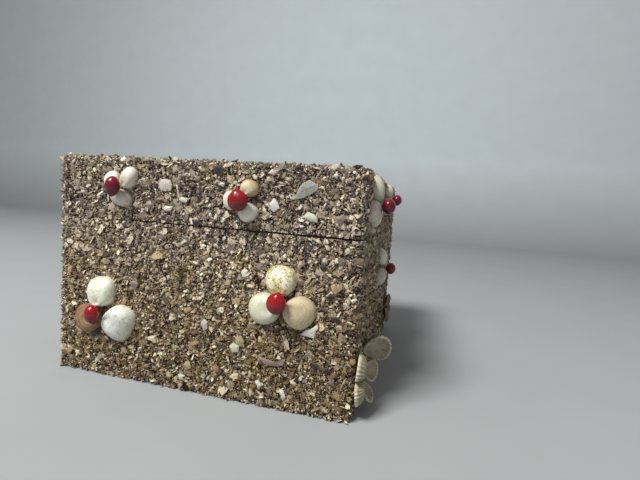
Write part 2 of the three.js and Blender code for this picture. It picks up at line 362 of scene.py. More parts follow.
def flake_shape(corners):
    """Triangles (triangle, 3) of one flake, and a map place for each of their corners."""
    here = np.arange(corners)
    after = (here + 1) % corners
    turn = 2 * np.pi * here / corners
    rim = np.stack([np.cos(turn), np.sin(turn)], 1)
    if corners == 4:
        upper, lower = np.array([[0, 1, 2], [0, 2, 3]]), np.array([[0, 3, 1], [2, 1, 3]])
    else:
        upper = np.stack([here, after, np.full(corners, corners)], 1)
        lower = np.stack([after, here, np.full(corners, corners + 1)], 1)
        rim = np.concatenate([rim, np.zeros((2, 2))])
    left, right = LEFT_HALF + HALF_REACH * rim, RIGHT_HALF + HALF_REACH * rim
    return np.concatenate([upper, lower]), np.concatenate([left[upper], right[lower]])


def squares(places, first, count, total):
    """Map places of count flakes from number first on, when the map holds total of them."""
    rows = math.ceil(math.sqrt(total))
    index = np.arange(first, first + count)
    corner = np.stack([index % rows, index // rows], 1)
    return (corner[:, None, None] + places[None]).reshape(-1, 2) / rows * np.array([FLAKES_WIDE, 1.0])


for corners in (4, 5, 6):
    print("a flake of", corners, "corners has", len(flake_shape(corners)[0]), "triangles")


# %% [markdown]
# ## The skin that the flakes follow
#
# The coat is flat on each wall and turns a soft corner at the edges. One function says where a
# spot of a wall is, and which way is outward there, so that the grit wraps round the corners as
# it does on a real box. The lid's top has its own.

# %% Where a spot of a wall or of the top is
def wall_skin(wall, along, height, lift):
    """Points and outward directions on a wall. along runs round the corners, height up it."""
    across, up, out = wall_axes(wall)
    flat = np.clip(along, EDGE_RADIUS - HALF, HALF - EDGE_RADIUS)
    turned = (along - flat) / EDGE_RADIUS
    rounded = np.clip(height - (TOP - TOP_RADIUS), 0, None) / TOP_RADIUS
    sideways = np.cos(rounded)[:, None]
    outward = across * (np.sin(turned)[:, None] * sideways)
    outward = outward + out * (np.cos(turned)[:, None] * sideways) + up * np.sin(rounded)[:, None]
    rest = EDGE_RADIUS - TOP_RADIUS
    base = across * (flat + rest * np.sin(turned))[:, None]
    base = base + out * (HALF - EDGE_RADIUS + rest * np.cos(turned))[:, None]
    base = base + up * np.minimum(height, TOP - TOP_RADIUS)[:, None]
    return base + outward * (TOP_RADIUS + lift)[:, None], outward


def top_skin(along, depth, lift):
    """Points and outward directions on the top of the lid."""
    flat_limit = HALF - TOP_RADIUS
    flat = [np.clip(value, -flat_limit, flat_limit) for value in (along, depth)]
    turned = [(value - level) / TOP_RADIUS for value, level in zip((along, depth), flat)]
    outward = np.stack([np.sin(turned[0]), np.sin(turned[1]), np.cos(turned[0]) * np.cos(turned[1])], 1)
    outward /= np.linalg.norm(outward, axis=1, keepdims=True)
    base = np.stack([flat[0], flat[1], np.full(len(along), TOP - TOP_RADIUS)], 1)
    return base + outward * (TOP_RADIUS + lift)[:, None], outward


# %% [markdown]
# ## Laying the grit
#
# The maker's crust has depth: a low bed of grains in glue, both painted dark as shade, a full layer
# of splinters over it, then wide thin plates, half buried. Four passes of the same flake tool do
# that. A jittered grid spreads each pass evenly, so there are no bald spots, and slow waves make
# small hollows and humps: in a hollow the flakes lie lower, in painted shade, and on a hump higher,
# in painted light.

# %% Spots spread evenly over a rectangle
def scatter(rng, low, high, per_square_mm):
    """Random spots in a rectangle, one in each cell of a grid."""
    step = 1 / math.sqrt(per_square_mm)
    counts = [max(1, round((high[i] - low[i]) / step)) for i in (0, 1)]
    grid = np.stack(np.meshgrid(*(np.arange(n) for n in counts), indexing="ij"), -1).reshape(-1, 2)
    inside = (grid + rng.uniform(0, 1, grid.shape)) / counts
    return np.array(low) + inside * (np.array(high) - np.array(low))


# %% Slow humps and hollows
WAVES, WAVE_LENGTHS, CALM = 9, (2.6, 9.0), 1.4


def hollows(rng):
    """A function of spots, about 1 on a hump and about -1 in a hollow, a few millimetres apart."""
    headings = rng.uniform(0, 2 * np.pi, WAVES)
    lengths = rng.uniform(*WAVE_LENGTHS, WAVES)
    directions = np.stack([np.cos(headings), np.sin(headings)]) * 2 * np.pi / lengths
    shifts = rng.uniform(0, 2 * np.pi, WAVES)
    return lambda spots: np.sin(spots @ directions + shifts).sum(1) * math.sqrt(2 / WAVES) / CALM


# %% The passes: how many to a square millimetre, radius, lift, tilt, corners, thickness, and how light
# The first pass's low shade is painted shade on the grains deep in the crust.
PASSES = [
    dict(density=0.90, size=(0.55, 0.95), lift=(-1.10, -0.65), tilt=0.9, corners=4, thick=0.6, shade=0.30),
    dict(density=1.80, size=(0.40, 0.95), lift=(-0.70, 0.40), tilt=1.0, corners=4, thick=0.5, shade=1.05),
    dict(density=0.23, size=(0.90, 1.90), lift=(-0.30, 0.50), tilt=0.7, corners=5, thick=0.2, shade=1.05),
    dict(density=0.030, size=(1.50, 2.80), lift=(-0.20, 0.45), tilt=0.4, corners=6, thick=0.12, shade=0.9),
]
# A hump lifts its flakes and paints them lighter, as painted light, and a hollow sinks them and
# paints them darker, as painted shade. Each flake's shade also varies by itself.
HUMP_LIFT, HUMP_SHADE, SHADE_SPREAD, OWN_SHADE_LIMIT = 0.25, 0.20, 0.43, 1.1
print("flakes to a square centimetre:", round(100 * sum(layer["density"] for layer in PASSES)))

# %% Half the open seam, which narrows towards the left of the front
SEAM_OPENING = 0.2
FRONT_PLACES, FRONT_OPENINGS = [-36, -26, -10, 70], [-0.4, 0.06, 0.20, 0.40]


def seam_gap(wall, points):
    """Half the seam's width. On the left of the front the grit of lid and body meets and closes it."""
    if wall != "front":
        return SEAM_OPENING
    return np.interp(points[..., 0], FRONT_PLACES, FRONT_OPENINGS)


# %% A bed of glue under the flakes
BED_STEP, BED_TOP, BED_LUMPS = 4.0, -1.15, 0.15
BED_UNDER = -COAT + 0.02
# GLUE_SHADE paints the glue bed dark, as painted shade between the flakes.
GLUE_TONE, GLUE_SHADE = 0.30, 0.25


def glue_bed(skin, low, high, rng):
    """A closed, slightly lumpy slab from the wood up to where the grit starts, and its flat map."""
    counts = [max(2, round((high[i] - low[i]) / BED_STEP)) for i in (0, 1)]
    lines = [np.linspace(low[i], high[i], counts[i] + 1) for i in (0, 1)]
    along, height = (grid.ravel() for grid in np.meshgrid(*lines, indexing="ij"))
    upper = skin(along, height, BED_TOP + rng.uniform(-BED_LUMPS, BED_LUMPS, len(along)))[0]
    lower = skin(along, height, np.full(len(along), BED_UNDER))[0]
    wide, tall = counts[0] + 1, counts[1] + 1
    spot = np.arange(wide * tall).reshape(wide, tall)
    quads = np.stack([spot[:-1, :-1], spot[1:, :-1], spot[1:, 1:], spot[:-1, 1:]], -1).reshape(-1, 4)
    under = quads[:, ::-1] + wide * tall
    rim = np.concatenate([spot[:, 0], spot[-1, 1:], spot[-2::-1, -1], spot[0, -2:0:-1]])
    after = np.roll(rim, -1)
    edge = np.stack([rim + wide * tall, after + wide * tall, after, rim], 1)
    cells = np.concatenate([quads, under, edge])
    faces = np.concatenate([cells[:, [0, 1, 2]], cells[:, [0, 2, 3]]])
    over = (height - low[1]) / (high[1] - low[1]) * STRIP_WIDE
    strip = np.stack([over, (along - low[0]) / (high[0] - low[0])], 1)
    flat = np.concatenate([strip + np.array([start, 0]) for start in STRIPS_AT])
    return np.concatenate([upper, lower]), faces, flat


# %% One wall or the top, covered
# The batch changes from the lid's to the foot's on the way down from just above the seam.
# Along this mark the foot is painted darker, as painted shade.
LID_BATCH_FROM, BATCH_SPAN = SEAM + 4, SEAM - 10


def crust(name, skin, low, high, trim, node, seed, fullness):
    """A crust piece: the bed of glue and every pass of flakes on one face of the box."""
    rng = np.random.default_rng(seed)
    hump = hollows(rng)
    spots = [scatter(rng, low, high, layer["density"] * fullness) for layer in PASSES]
    total = sum(len(places) for places in spots)
    bed, bed_faces, bed_flat = glue_bed(skin, low, high, rng)
    points, faces, flat = [trim(bed)], [bed_faces], [bed_flat[bed_faces].reshape(-1, 2)]
    tones, shades = [np.full(len(bed), GLUE_TONE)], [np.full(len(bed), GLUE_SHADE)]
    start, first = len(bed), 0
    for layer, here in zip(PASSES, spots):
        count, rise = len(here), hump(here)
        lift = rng.uniform(*layer["lift"], count) + HUMP_LIFT * np.clip(rise, -2, 1)
        places, outward = skin(here[:, 0], here[:, 1], lift)
        sizes = rng.uniform(*layer["size"], count)
        chips = trim(flakes(rng, places, outward, sizes, layer["tilt"], layer["corners"], layer["thick"]))
        each = chips.shape[1]
        triangles, corner_places = flake_shape(layer["corners"])
        points.append(chips.reshape(-1, 3))
        faces.append((triangles + start + each * np.arange(count)[:, None, None]).reshape(-1, 3))
        flat.append(squares(corner_places, first, count, total))
        tone = rng.uniform(0, 1, count)
        # Each flake's own lightness, times its pass's shade, lighter on a hump and darker in a hollow:
        # painted light and shade.
        shade = layer["shade"] * np.exp(rng.normal(0, SHADE_SPREAD, count) + HUMP_SHADE * rise)
        shade = np.where(tone > OWN_FROM, np.minimum(shade, OWN_SHADE_LIMIT), shade)
        tones.append(np.repeat(tone, each))
        shades.append(np.repeat(shade, each))
        start += count * each
        first += count
    points = np.concatenate(points)
    batch_and_shade = np.clip((LID_BATCH_FROM - points[:, 2]) / BATCH_SPAN, 0, 1)
    marks = {"tone": np.concatenate(tones), "shade": np.concatenate(shades), "batch_and_shade": batch_and_shade}
    faces = np.concatenate(faces)
    shell_piece(name, points, faces, crushed_shell, [node], marks, np.concatenate(flat))
    print(f"{name}: {total} flakes, {len(faces)} triangles")


# %% How far each face runs, and how full its coat is
def unrolled(reach, radius):
    """Half a face, from its middle to halfway round a corner of that radius."""
    return reach - radius + radius * math.pi / 4


AROUND = unrolled(HALF, EDGE_RADIUS)
OVER = unrolled(TOP, TOP_RADIUS)
ACROSS_TOP = unrolled(HALF, TOP_RADIUS)
# No grit goes below FOOT. Spots start FOOT_EDGE up the wall and stop SEAM_EDGE from the seam.
FOOT, FOOT_EDGE, SEAM_EDGE = 0.12, 0.9, 0.25
FULLNESS = {"front": 1.12, "right": 0.85, "back": 0.5, "left": 0.55, "top": 0.5}
BODY_SEED, LID_SEED, TOP_SEED = 11, 31, 41
print(f"grit runs {AROUND:.1f} mm to each side of a wall's middle and up to {OVER:.1f} mm")


# %% The coat of the body, wall by wall
def on_body(wall):
    """A function that keeps points between the foot and the seam."""
    def trim(points):
        points[..., 2] = np.clip(points[..., 2], FOOT, SEAM - seam_gap(wall, points))
        return points
    return trim


for turn, wall in enumerate(WALLS):
    crust(f"crust_body_{wall}", partial(wall_skin, wall), (-AROUND, FOOT_EDGE), (AROUND, SEAM - SEAM_EDGE),
          on_body(wall), "body_shell_coat", BODY_SEED + turn, FULLNESS[wall])


# %% The coat of the lid
def on_lid(wall):
    """A function that keeps points above the seam."""
    def trim(points):
        points[..., 2] = np.maximum(points[..., 2], SEAM + seam_gap(wall, points))
        return points
    return trim


for turn, wall in enumerate(WALLS):
    crust(f"crust_lid_{wall}", partial(wall_skin, wall), (-AROUND, SEAM + SEAM_EDGE), (AROUND, OVER),
          on_lid(wall), "lid_shell_coat", LID_SEED + turn, FULLNESS[wall])
crust("crust_lid_top", top_skin, (-ACROSS_TOP, -ACROSS_TOP), (ACROSS_TOP, ACROSS_TOP),
      lambda points: points, "lid_shell_coat", TOP_SEED, FULLNESS["top"])

# %% [markdown]
# ## Whole valves
#
# A clam valve grows outward from its beak, ring by ring, so the shape comes from the same idea:
# the margin is an oval, each earlier ring is the margin drawn in towards the beak, and a dome
# formula says how high each ring stands. Faint growth ridges and, on some, fine ribs go on top.

# %% The skin of a valve
BEAK_PLACE = 0.14
CLAM_FLARE, COCKLE_FLARE = 0.08, 0.24


def swell(growth):
    """How high a ring stands, as a share of the valve's height."""
    return (1 - growth**2.4) ** 0.62 * (1 - 0.28 * (1 - growth) ** 3) / 0.875


def growth_steps(first, count):
    """Where the rings are, from near the beak (0) to the margin (1), closer near the margin."""
    return np.sin(np.linspace(first, 1, count) * np.pi / 2)


def valve_rings(length, width, height, growth, turn, flare, square):
    """Points (ring, corner, 3) of a valve's outer skin. Its beak end is at y = 0."""
    s, a = growth[:, None], turn[None]
    bent_sin = np.sign(np.sin(a)) * np.abs(np.sin(a)) ** square
    bent_cos = np.sign(np.cos(a)) * np.abs(np.cos(a)) ** square
    beak = BEAK_PLACE * length
    x = width / 2 * bent_sin * (1 + flare * np.cos(a))
    y = length / 2 * (1 + bent_cos)
    z = height * swell(s) + 0 * a
    return np.stack([s * x, beak + s * (y - beak), z], -1)


def closed_skin(rings, first, last):
    """Points and triangles of a closed skin: rings of points, with one more point at each end."""
    count, corners = rings.shape[:2]
    spot = np.arange(count * corners).reshape(count, corners)
    after = np.roll(spot, -1, axis=1)
    quads = np.stack([spot[1:], after[1:], after[:-1], spot[:-1]], -1).reshape(-1, 4)
    crown = np.stack([spot[0], after[0], np.full(corners, count * corners)], 1)
    tail = np.stack([after[-1], spot[-1], np.full(corners, count * corners + 1)], 1)
    points = np.concatenate([rings.reshape(-1, 3), [first, last]])
    return points, np.concatenate([quads[:, [0, 1, 2]], quads[:, [0, 2, 3]], crown, tail])


# %% A glued-down clam valve, whose flat back goes down into the grit
CLAM_RINGS, CLAM_CORNERS = 26, 60
CLAM_BACK, CLAM_LUMPS = -0.9, 0.05


def clam_valve(rng, length, width, height, relief):
    """A dome with a flat back. Returns points, faces and the mark growth."""
    ridges, ridge_depth, ribs, rib_depth, square = relief
    steps = growth_steps(0.03, CLAM_RINGS)
    turn = 2 * np.pi * np.arange(CLAM_CORNERS) / CLAM_CORNERS
    skin = valve_rings(length, width, height, steps, turn, CLAM_FLARE, square)
    wave = np.sin(2 * np.pi * (steps * ridges + 0.4 * np.sin(steps * 9)))[:, None] * ridge_depth
    comb = np.cos(turn * ribs)[None] * rib_depth * steps[:, None]
    lumps = CLAM_LUMPS * np.sin(3 * turn + rng.uniform(0, 6))[None] * steps[:, None] ** 3
    fade = np.clip(steps * 3, 0, 1)[:, None] * np.ones_like(comb)
    skin[..., 2] += (wave + comb) * fade * np.clip((1 - steps) * 14, 0.15, 1)[:, None]
    skin[..., :2] += lumps[..., None] * np.stack([np.sin(turn), np.cos(turn)], -1)[None]
    edge = skin[-1:].copy()
    edge[..., 2] = CLAM_BACK
    points, faces = closed_skin(np.concatenate([skin, edge]), skin[0].mean(0), edge[0].mean(0))
    growth = np.append(np.repeat(np.append(steps, 1.0), len(turn)), [0, 1])
    return points, facing_out(points, faces), {"growth": growth}


# %% Standing a piece on a wall
def on_wall(points, wall, direction, centre, lean=0.0, flip=0.0):
    """Turns a piece to its direction and lean on a wall, with the middle of its box at centre."""
    turned = Matrix.Rotation(math.radians(direction - 90), 3, "Z")
    turned = turned @ Matrix.Rotation(math.radians(lean), 3, "X")
    turned = turned @ Matrix.Rotation(flip, 3, "Y")
    axes = np.stack(wall_axes(wall))
    placed = points @ np.array(turned).T @ axes
    middle = (placed.min(0) + placed.max(0)) / 2
    return placed + np.array(centre) - middle


def middle_of(node):
    """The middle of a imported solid, in millimetres."""
    low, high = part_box(node)
    return np.array((low + high) / 2) / MM


# %% [markdown]
# ## Finishes of whole shells
#
# Shells differ: one is chalk white with faint specks, one has brown bands, one is cream with
# olive blotches. One recipe covers them: a ground colour that shifts from beak to margin, bands
# that follow the growth rings and wander a little, soft blotches, and small specks.

# %% One recipe for natural shell
FINE_LINES = 31
MARGIN_BROWN = (0.40, 0.30, 0.18)


def wave_of(tree, value, cycles):
    """A number that swings between -1 and 1, that many times while value runs from 0 to 1."""
    return maths(tree, "SINE", maths(tree, "MULTIPLY", value, cycles * 2 * math.pi))


def shell_finish(name, ground, margin, band, banding, blotch, blotching, speck, specking,
                 bands, rough=0.42):
    """A finish of natural shell. banding, blotching and specking say how strong each one is."""
    finish, tree, shader = new_finish(name)
    growth = mark(tree, "growth")
    colour = ramp(tree, growth, [(0.15, ground), (0.95, margin)])
    age = maths(tree, "ADD", growth, maths(tree, "MULTIPLY", noise(tree, 6, 2), 0.12))
    wave = ramp(tree, wave_of(tree, age, bands), [(0.1, 0.0), (0.95, banding)])
    patchy = ramp(tree, noise(tree, 3, 2), [(0.36, 0.15), (0.58, 1.0)])
    colour = mix(tree, maths(tree, "MULTIPLY", wave, patchy), colour, band)
    line = wave_of(tree, age, FINE_LINES)
    colour = mix(tree, ramp(tree, line, [(0.4, 0.0), (1.0, 0.4 * banding)]), colour, band)
    blotch_share = ramp(tree, noise(tree, 2.6, 4, 0.65), [(0.49, 0.0), (0.60, blotching)])
    colour = mix(tree, blotch_share, colour, blotch)
    speck_share = ramp(tree, noise(tree, 0.9, 2), [(0.58, 0.0), (0.66, specking)])
    colour = mix(tree, speck_share, colour, speck)
    # Towards the margin the colour is mixed with brown, in patches.
    edge = ramp(tree, growth, [(0.82, 0.0), (1.0, 1.0)])
    edge = maths(tree, "MULTIPLY", edge, noise(tree, 2, 3))
    colour = mix(tree, maths(tree, "MULTIPLY", edge, 0.7), colour, MARGIN_BROWN)
    dirt = ramp(tree, noise(tree, 1.4, 4), [(0.25, 0.78), (0.60, 1.0)])
    colour = mix(tree, 0.6, colour, dirt, "MULTIPLY")
    plug(tree, shader.inputs["Base Color"], colour)
    sheen = ramp(tree, noise(tree, 2, 3), [(0.3, rough - 0.1), (0.7, rough + 0.14)])
    plug(tree, shader.inputs["Roughness"], sheen)
    shader.inputs["Subsurface Weight"].default_value = 0.08
    shader.inputs["Subsurface Radius"].default_value = (0.002, 0.0012, 0.0008)
    relief = maths(tree, "ADD", noise(tree, 0.35, 3), maths(tree, "MULTIPLY", line, 0.25))
    bumps(tree, relief, 0.05, shader)
    return finish


# %% The shells on this box
# Each row is a name, the ground at the beak and at the margin, then bands, blotches and specks
# with how strong each is, how many bands there are, and how rough the shell is if it isn't 0.42.
BROWN, TAN = (0.17, 0.08, 0.045), (0.50, 0.33, 0.19)
SHELLS = {
    "white": ("white_shell", (0.82, 0.78, 0.71), (0.90, 0.88, 0.82), (0.72, 0.68, 0.60), 0.3,
              (0.80, 0.72, 0.64), 0.4, (0.40, 0.34, 0.26), 0.3, 6),
    "chalk": ("chalk_shell", (0.78, 0.79, 0.68), (0.85, 0.88, 0.79), (0.62, 0.66, 0.42), 0.35,
              (0.68, 0.75, 0.52), 0.5, (0.30, 0.30, 0.16), 0.5, 6),
    "dappled": ("dappled_shell", (0.80, 0.84, 0.79), (0.82, 0.83, 0.74), (0.62, 0.68, 0.64), 0.4,
                (0.52, 0.57, 0.56), 0.6, (0.42, 0.27, 0.12), 0.75, 8),
    "brown": ("brown_banded_shell", (0.46, 0.31, 0.17), (0.26, 0.11, 0.05), (0.13, 0.05, 0.03), 0.75,
              (0.42, 0.27, 0.15), 0.4, BROWN, 0.4, 5),
    "olive": ("olive_blotched_shell", (0.82, 0.72, 0.44), (0.92, 0.90, 0.78), (0.70, 0.60, 0.26), 0.35,
              (0.44, 0.38, 0.10), 0.9, (0.16, 0.09, 0.04), 0.85, 4),
    "cream": ("cream_shell", (0.74, 0.74, 0.60), (0.78, 0.77, 0.62), (0.62, 0.60, 0.42), 0.35,
              (0.66, 0.65, 0.46), 0.5, TAN, 0.15, 4, 0.34),
    "orange": ("orange_lined_shell", (0.60, 0.49, 0.31), (0.72, 0.62, 0.42), (0.50, 0.36, 0.22), 0.6,
               (0.80, 0.69, 0.47), 0.4, TAN, 0.2, 8),
    "pink": ("pinkish_shell", (0.72, 0.57, 0.48), (0.90, 0.87, 0.76), (0.70, 0.58, 0.50), 0.4,
             (0.84, 0.76, 0.66), 0.4, TAN, 0.2, 5),
    "tan": ("tan_sided_shell", (0.88, 0.82, 0.66), (0.62, 0.48, 0.29), TAN, 0.4,
            (0.44, 0.33, 0.18), 0.4, BROWN, 0.2, 4),
    "grey": ("grey_shell", (0.64, 0.56, 0.51), (0.72, 0.65, 0.59), (0.50, 0.43, 0.38), 0.4,
             (0.78, 0.72, 0.66), 0.45, BROWN, 0.35, 7),
    "ribbed": ("pale_ribbed_shell", (0.84, 0.80, 0.70), (0.90, 0.88, 0.78), (0.62, 0.58, 0.48), 0.1,
               (0.74, 0.69, 0.58), 0.4, TAN, 0.2, 3),
}
SHELL_FINISHES = {key: shell_finish(*recipe) for key, recipe in SHELLS.items()}
print("shell finishes:", ", ".join(SHELL_FINISHES))

# %% [markdown]
# ## The flowers
#
# Three valves lie like petals with their beaks together, and a seed sits on the beaks. The table
# gives each valve its direction in degrees, its length, width and height, its finish, and its
# relief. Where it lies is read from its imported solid, so that no place is written down twice.

# %% Directions and sizes of the valves
# Each relief is growth ridges, their depth, ribs, their depth, and how round the margin is.
SMOOTH, RIDGED = (3, 0.008, 0, 0.0, 0.95), (8, 0.018, 0, 0.0, 0.92)
RIBBED, SQUARE = (2, 0.006, 20, 0.17, 0.92), (7, 0.015, 0, 0.0, 0.78)
FLOWERS = {
    "front_lid_left": ("front", [(120, 7.4, 7.8, 3.2, "white", SMOOTH), (74, 9.6, 7.2, 3.6, "pink", RIDGED),
                                 (262, 7.3, 10.9, 3.2, "grey", SMOOTH)]),
    "front_lid_right": ("front", [(184, 8, 7.8, 3.2, "pink", SMOOTH), (62, 6.6, 7.7, 3.8, "tan", SMOOTH),
                                  (300, 7.8, 8.3, 3.4, "ribbed", RIBBED)]),
    "front_body_left": ("front", [(98, 13.4, 13.9, 5.2, "chalk", SQUARE),
                                  (335, 13.6, 16.6, 5.4, "dappled", SQUARE),
                                  (196, 15, 13.3, 4.4, "brown", RIDGED)]),
    "front_body_right": ("front", [(92, 12.4, 12.9, 5, "olive", SMOOTH), (200, 14, 13, 5, "cream", SMOOTH),
                                   (328, 12.7, 13.4, 5, "orange", RIDGED)]),
    "right_lid_front": ("right", [(86, 11.2, 10, 4.2, "cream", RIDGED), (204, 9, 9, 3.6, "grey", RIDGED),
                                  (312, 9.2, 9.2, 3.8, "cream", SMOOTH)]),
    "right_lid_back": ("right", [(100, 7.4, 8.4, 3.6, "cream", SMOOTH), (222, 9.2, 8.8, 3.6, "grey", RIDGED),
                                 (342, 9.2, 8.8, 3.6, "pink", SMOOTH)]),
    "right_body": ("right", [(100, 9.2, 9.4, 3.8, "ribbed", RIDGED), (220, 10, 9.6, 4, "grey", RIDGED),
                             (340, 9.4, 9.2, 3.8, "cream", SMOOTH)]),
    "left_lid": ("left", [(90, 9.6, 9, 3.6, "cream", SMOOTH), (210, 9.6, 9, 3.6, "chalk", SMOOTH),
                          (330, 9.6, 9, 3.6, "cream", SMOOTH)]),
    "left_body": ("left", [(90, 12.6, 12, 4.8, "chalk", RIDGED), (210, 12.6, 12, 4.8, "cream", RIDGED),
                           (330, 12.6, 12, 4.8, "dappled", RIDGED)]),
}

# %% Laying the valves, each pressed a little into the grit
SINK = 0.45
for flower, (wall, valves) in FLOWERS.items():
    rng = np.random.default_rng(len(flower) * 7 + len(wall))
    for i, (direction, length, width, height, finish, relief) in enumerate(valves, 1):
        node = f"{flower}_valve_{i}"
        points, faces, marks = clam_valve(rng, length, width, height, relief)
        placed = on_wall(points, wall, direction, middle_of(node) - SINK * WALLS[wall])
        shell_piece(f"clam_{flower}_{i}", placed, faces, SHELL_FINISHES[finish], [node], marks,
                    smooth=True)
print("clam valves laid:", sum(len(v) for _, v in FLOWERS.values()))

# %% [markdown]
# ## The seeds
#
# The seeds are hard and glossy, shaped like a plump lens with a blunt heart outline. A ball with
# a soft point pulled out on one side has that form. A clear coat over deep red gives the gloss,
# and a small dark scar marks where the seed hung in its pod. The lower half of each seed is
# painted darker, as painted shade, and four of the seeds are crimson all over.

# %% The seeds' finish, scarlet or crimson
# The first colour is painted shade for the lower half of each seed, the second the scar's own brown.
PAINTED_SHADE_RED, SCAR_BROWN = (0.070, 0.003, 0.014), (0.03, 0.008, 0.006)


def seed_finish(name, deep, bright):
    """A glossy red that wanders between deep and bright, with painted shade on its lower half."""
    finish, tree, shader = new_finish(name)
    depth = ramp(tree, noise(tree, 4.5, 3), [(0.3, deep), (0.7, bright)])
    scar = ramp(tree, mark(tree, "scar"), [(0.80, 0.0), (0.95, 1.0)])
    # Painted shade: by the mark low, the lower half is mixed towards a darker red.
    shaded_red = mix(tree, maths(tree, "MULTIPLY", mark(tree, "low"), 0.75), depth, PAINTED_SHADE_RED)
    plug(tree, shader.inputs["Base Color"], mix(tree, scar, shaded_red, SCAR_BROWN))
    polish = ramp(tree, noise(tree, 1.2, 3), [(0.3, 0.22), (0.7, 0.36)])
    plug(tree, shader.inputs["Roughness"], polish)
    shader.inputs["Specular IOR Level"].default_value = 0.3
    shader.inputs["Coat Weight"].default_value = 0.5
    shader.inputs["Coat Roughness"].default_value = 0.12
    shader.inputs["Subsurface Weight"].default_value = 0.05
    shader.inputs["Subsurface Radius"].default_value = (0.001, 0.0003, 0.0002)
    bumps(tree, noise(tree, 1.1, 2), 0.008, shader)
    return finish


scarlet_seed = seed_finish("scarlet_seed", (0.24, 0.004, 0.008), (0.36, 0.008, 0.012))
crimson_seed = seed_finish("crimson_seed", (0.14, 0.004, 0.015), (0.21, 0.008, 0.023))
print("seed finishes:", scarlet_seed.name, crimson_seed.name)

# %% A seed from rings of a ball
SEED_BANDS, SEED_CORNERS = 28, 48
POINT_PULL, POINT_SPREAD = 0.16, 0.10


def seed_ball(point_at):
    """A unit lens, its soft point at that many degrees. Returns points, faces and marks: scar, and
    low, the painted shade of the lower half.
    """
    down = np.pi * np.arange(1, SEED_BANDS) / SEED_BANDS
    turn = 2 * np.pi * np.arange(SEED_CORNERS) / SEED_CORNERS
    away = np.angle(np.exp(1j * (turn - math.radians(point_at))))
    pull = 1 + POINT_PULL * np.exp(-(away**2) / POINT_SPREAD)
    lens = np.sign(np.cos(down)) * np.abs(np.cos(down)) ** 1.1
    reach = np.sin(down)[:, None] * pull
    rings = np.stack([reach * np.cos(turn), reach * np.sin(turn), lens[:, None] + 0 * turn], -1)
    points, faces = closed_skin(rings, (0, 0, 1), (0, 0, -1))
    tip = np.array([math.cos(math.radians(point_at)), math.sin(math.radians(point_at)), 0.0])
    near = points @ tip / np.linalg.norm(points, axis=1)
    # low is painted shade, strongest on the lower side of the seed.
    marks = {"scar": np.clip(near, 0, 1) ** 30, "low": np.clip(0.35 - points[:, 1], 0, 1)}
    return points, facing_out(points, faces), marks


# %% Setting the seeds
CRIMSON = ("front_lid_left", "right_lid_front", "right_lid_back", "right_body")
POINTS_AT = {"front_lid_left": 262, "front_lid_right": 100, "front_body_left": 300, "front_body_right": 80}
POINT_ELSEWHERE, SEED_FIT = 40, 0.98
for flower, (wall, _) in FLOWERS.items():
    node = f"{flower}_seed"
    finish = crimson_seed if flower in CRIMSON else scarlet_seed
    low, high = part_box(node)
    points, faces, marks = seed_ball(POINTS_AT.get(flower, POINT_ELSEWHERE))
    axes = np.stack(wall_axes(wall))
    size = np.abs(axes @ np.array(high - low)) / MM / 2
    placed = (points * size * SEED_FIT) @ axes + middle_of(node)
    shell_piece(f"seed_{flower}", placed, faces, finish, [node], marks, smooth=True)
print("seeds set:", len(FLOWERS))

# %% [markdown]
# ## The rosettes of cockle valves
#
# Cockles have strong ribs that run from beak to margin and end in a scalloped edge. They are
# open cups, so both skins show. The outer and the inner skin share the same ring formula, the
# inner one drawn in by the wall's thickness, and they meet at the margin.

# %% A ribbed, open valve
COCKLE_WALL = 0.9
RIBS, CORNERS_A_RIB, COCKLE_RINGS = 22, 6, 16
OUTER_RIB, INNER_RIB = 0.026, 0.010


def cockle_valve(length, width, height):
    """An open, ribbed cup. Returns points, faces and the marks growth, rib and inside."""
    corners = CORNERS_A_RIB * RIBS
    turn = 2 * np.pi * np.arange(corners) / corners
    steps = growth_steps(0.04, COCKLE_RINGS)
    comb = np.cos(turn * RIBS)[None]
    beak = np.array([0, BEAK_PLACE * length])
    fade = np.clip(steps * 2, 0, 1) * np.clip((1 - steps) * 6, 0.2, 1)

    def skin(shrink, depth):
        size = (length - 2 * shrink, width - 2 * shrink, height - shrink)
        rings = valve_rings(*size, steps, turn, COCKLE_FLARE, 1.0)
        rings[..., 1] += shrink
        scallop = (1 + depth * steps[:, None] * comb)[..., None]
        rings[..., :2] = beak + (rings[..., :2] - beak) * scallop
        rings[..., 2] += 4 * depth * comb * fade[:, None]
        return rings

    outer, inner = skin(0.0, OUTER_RIB), skin(COCKLE_WALL, INNER_RIB)
    rings = np.concatenate([outer, inner[::-1]])
    points, faces = closed_skin(rings, outer[0].mean(0), inner[0].mean(0))
    marks = {
        "growth": np.concatenate([np.repeat(np.concatenate([steps, steps[::-1]]), corners), [0, 0]]),
        "rib": np.concatenate([np.tile(comb[0], len(rings)), [0, 0]]),
        "inside": np.concatenate([np.repeat([0.0, 1.0], len(steps) * corners), [0, 1]]),
    }
    return points, facing_out(points, faces), marks


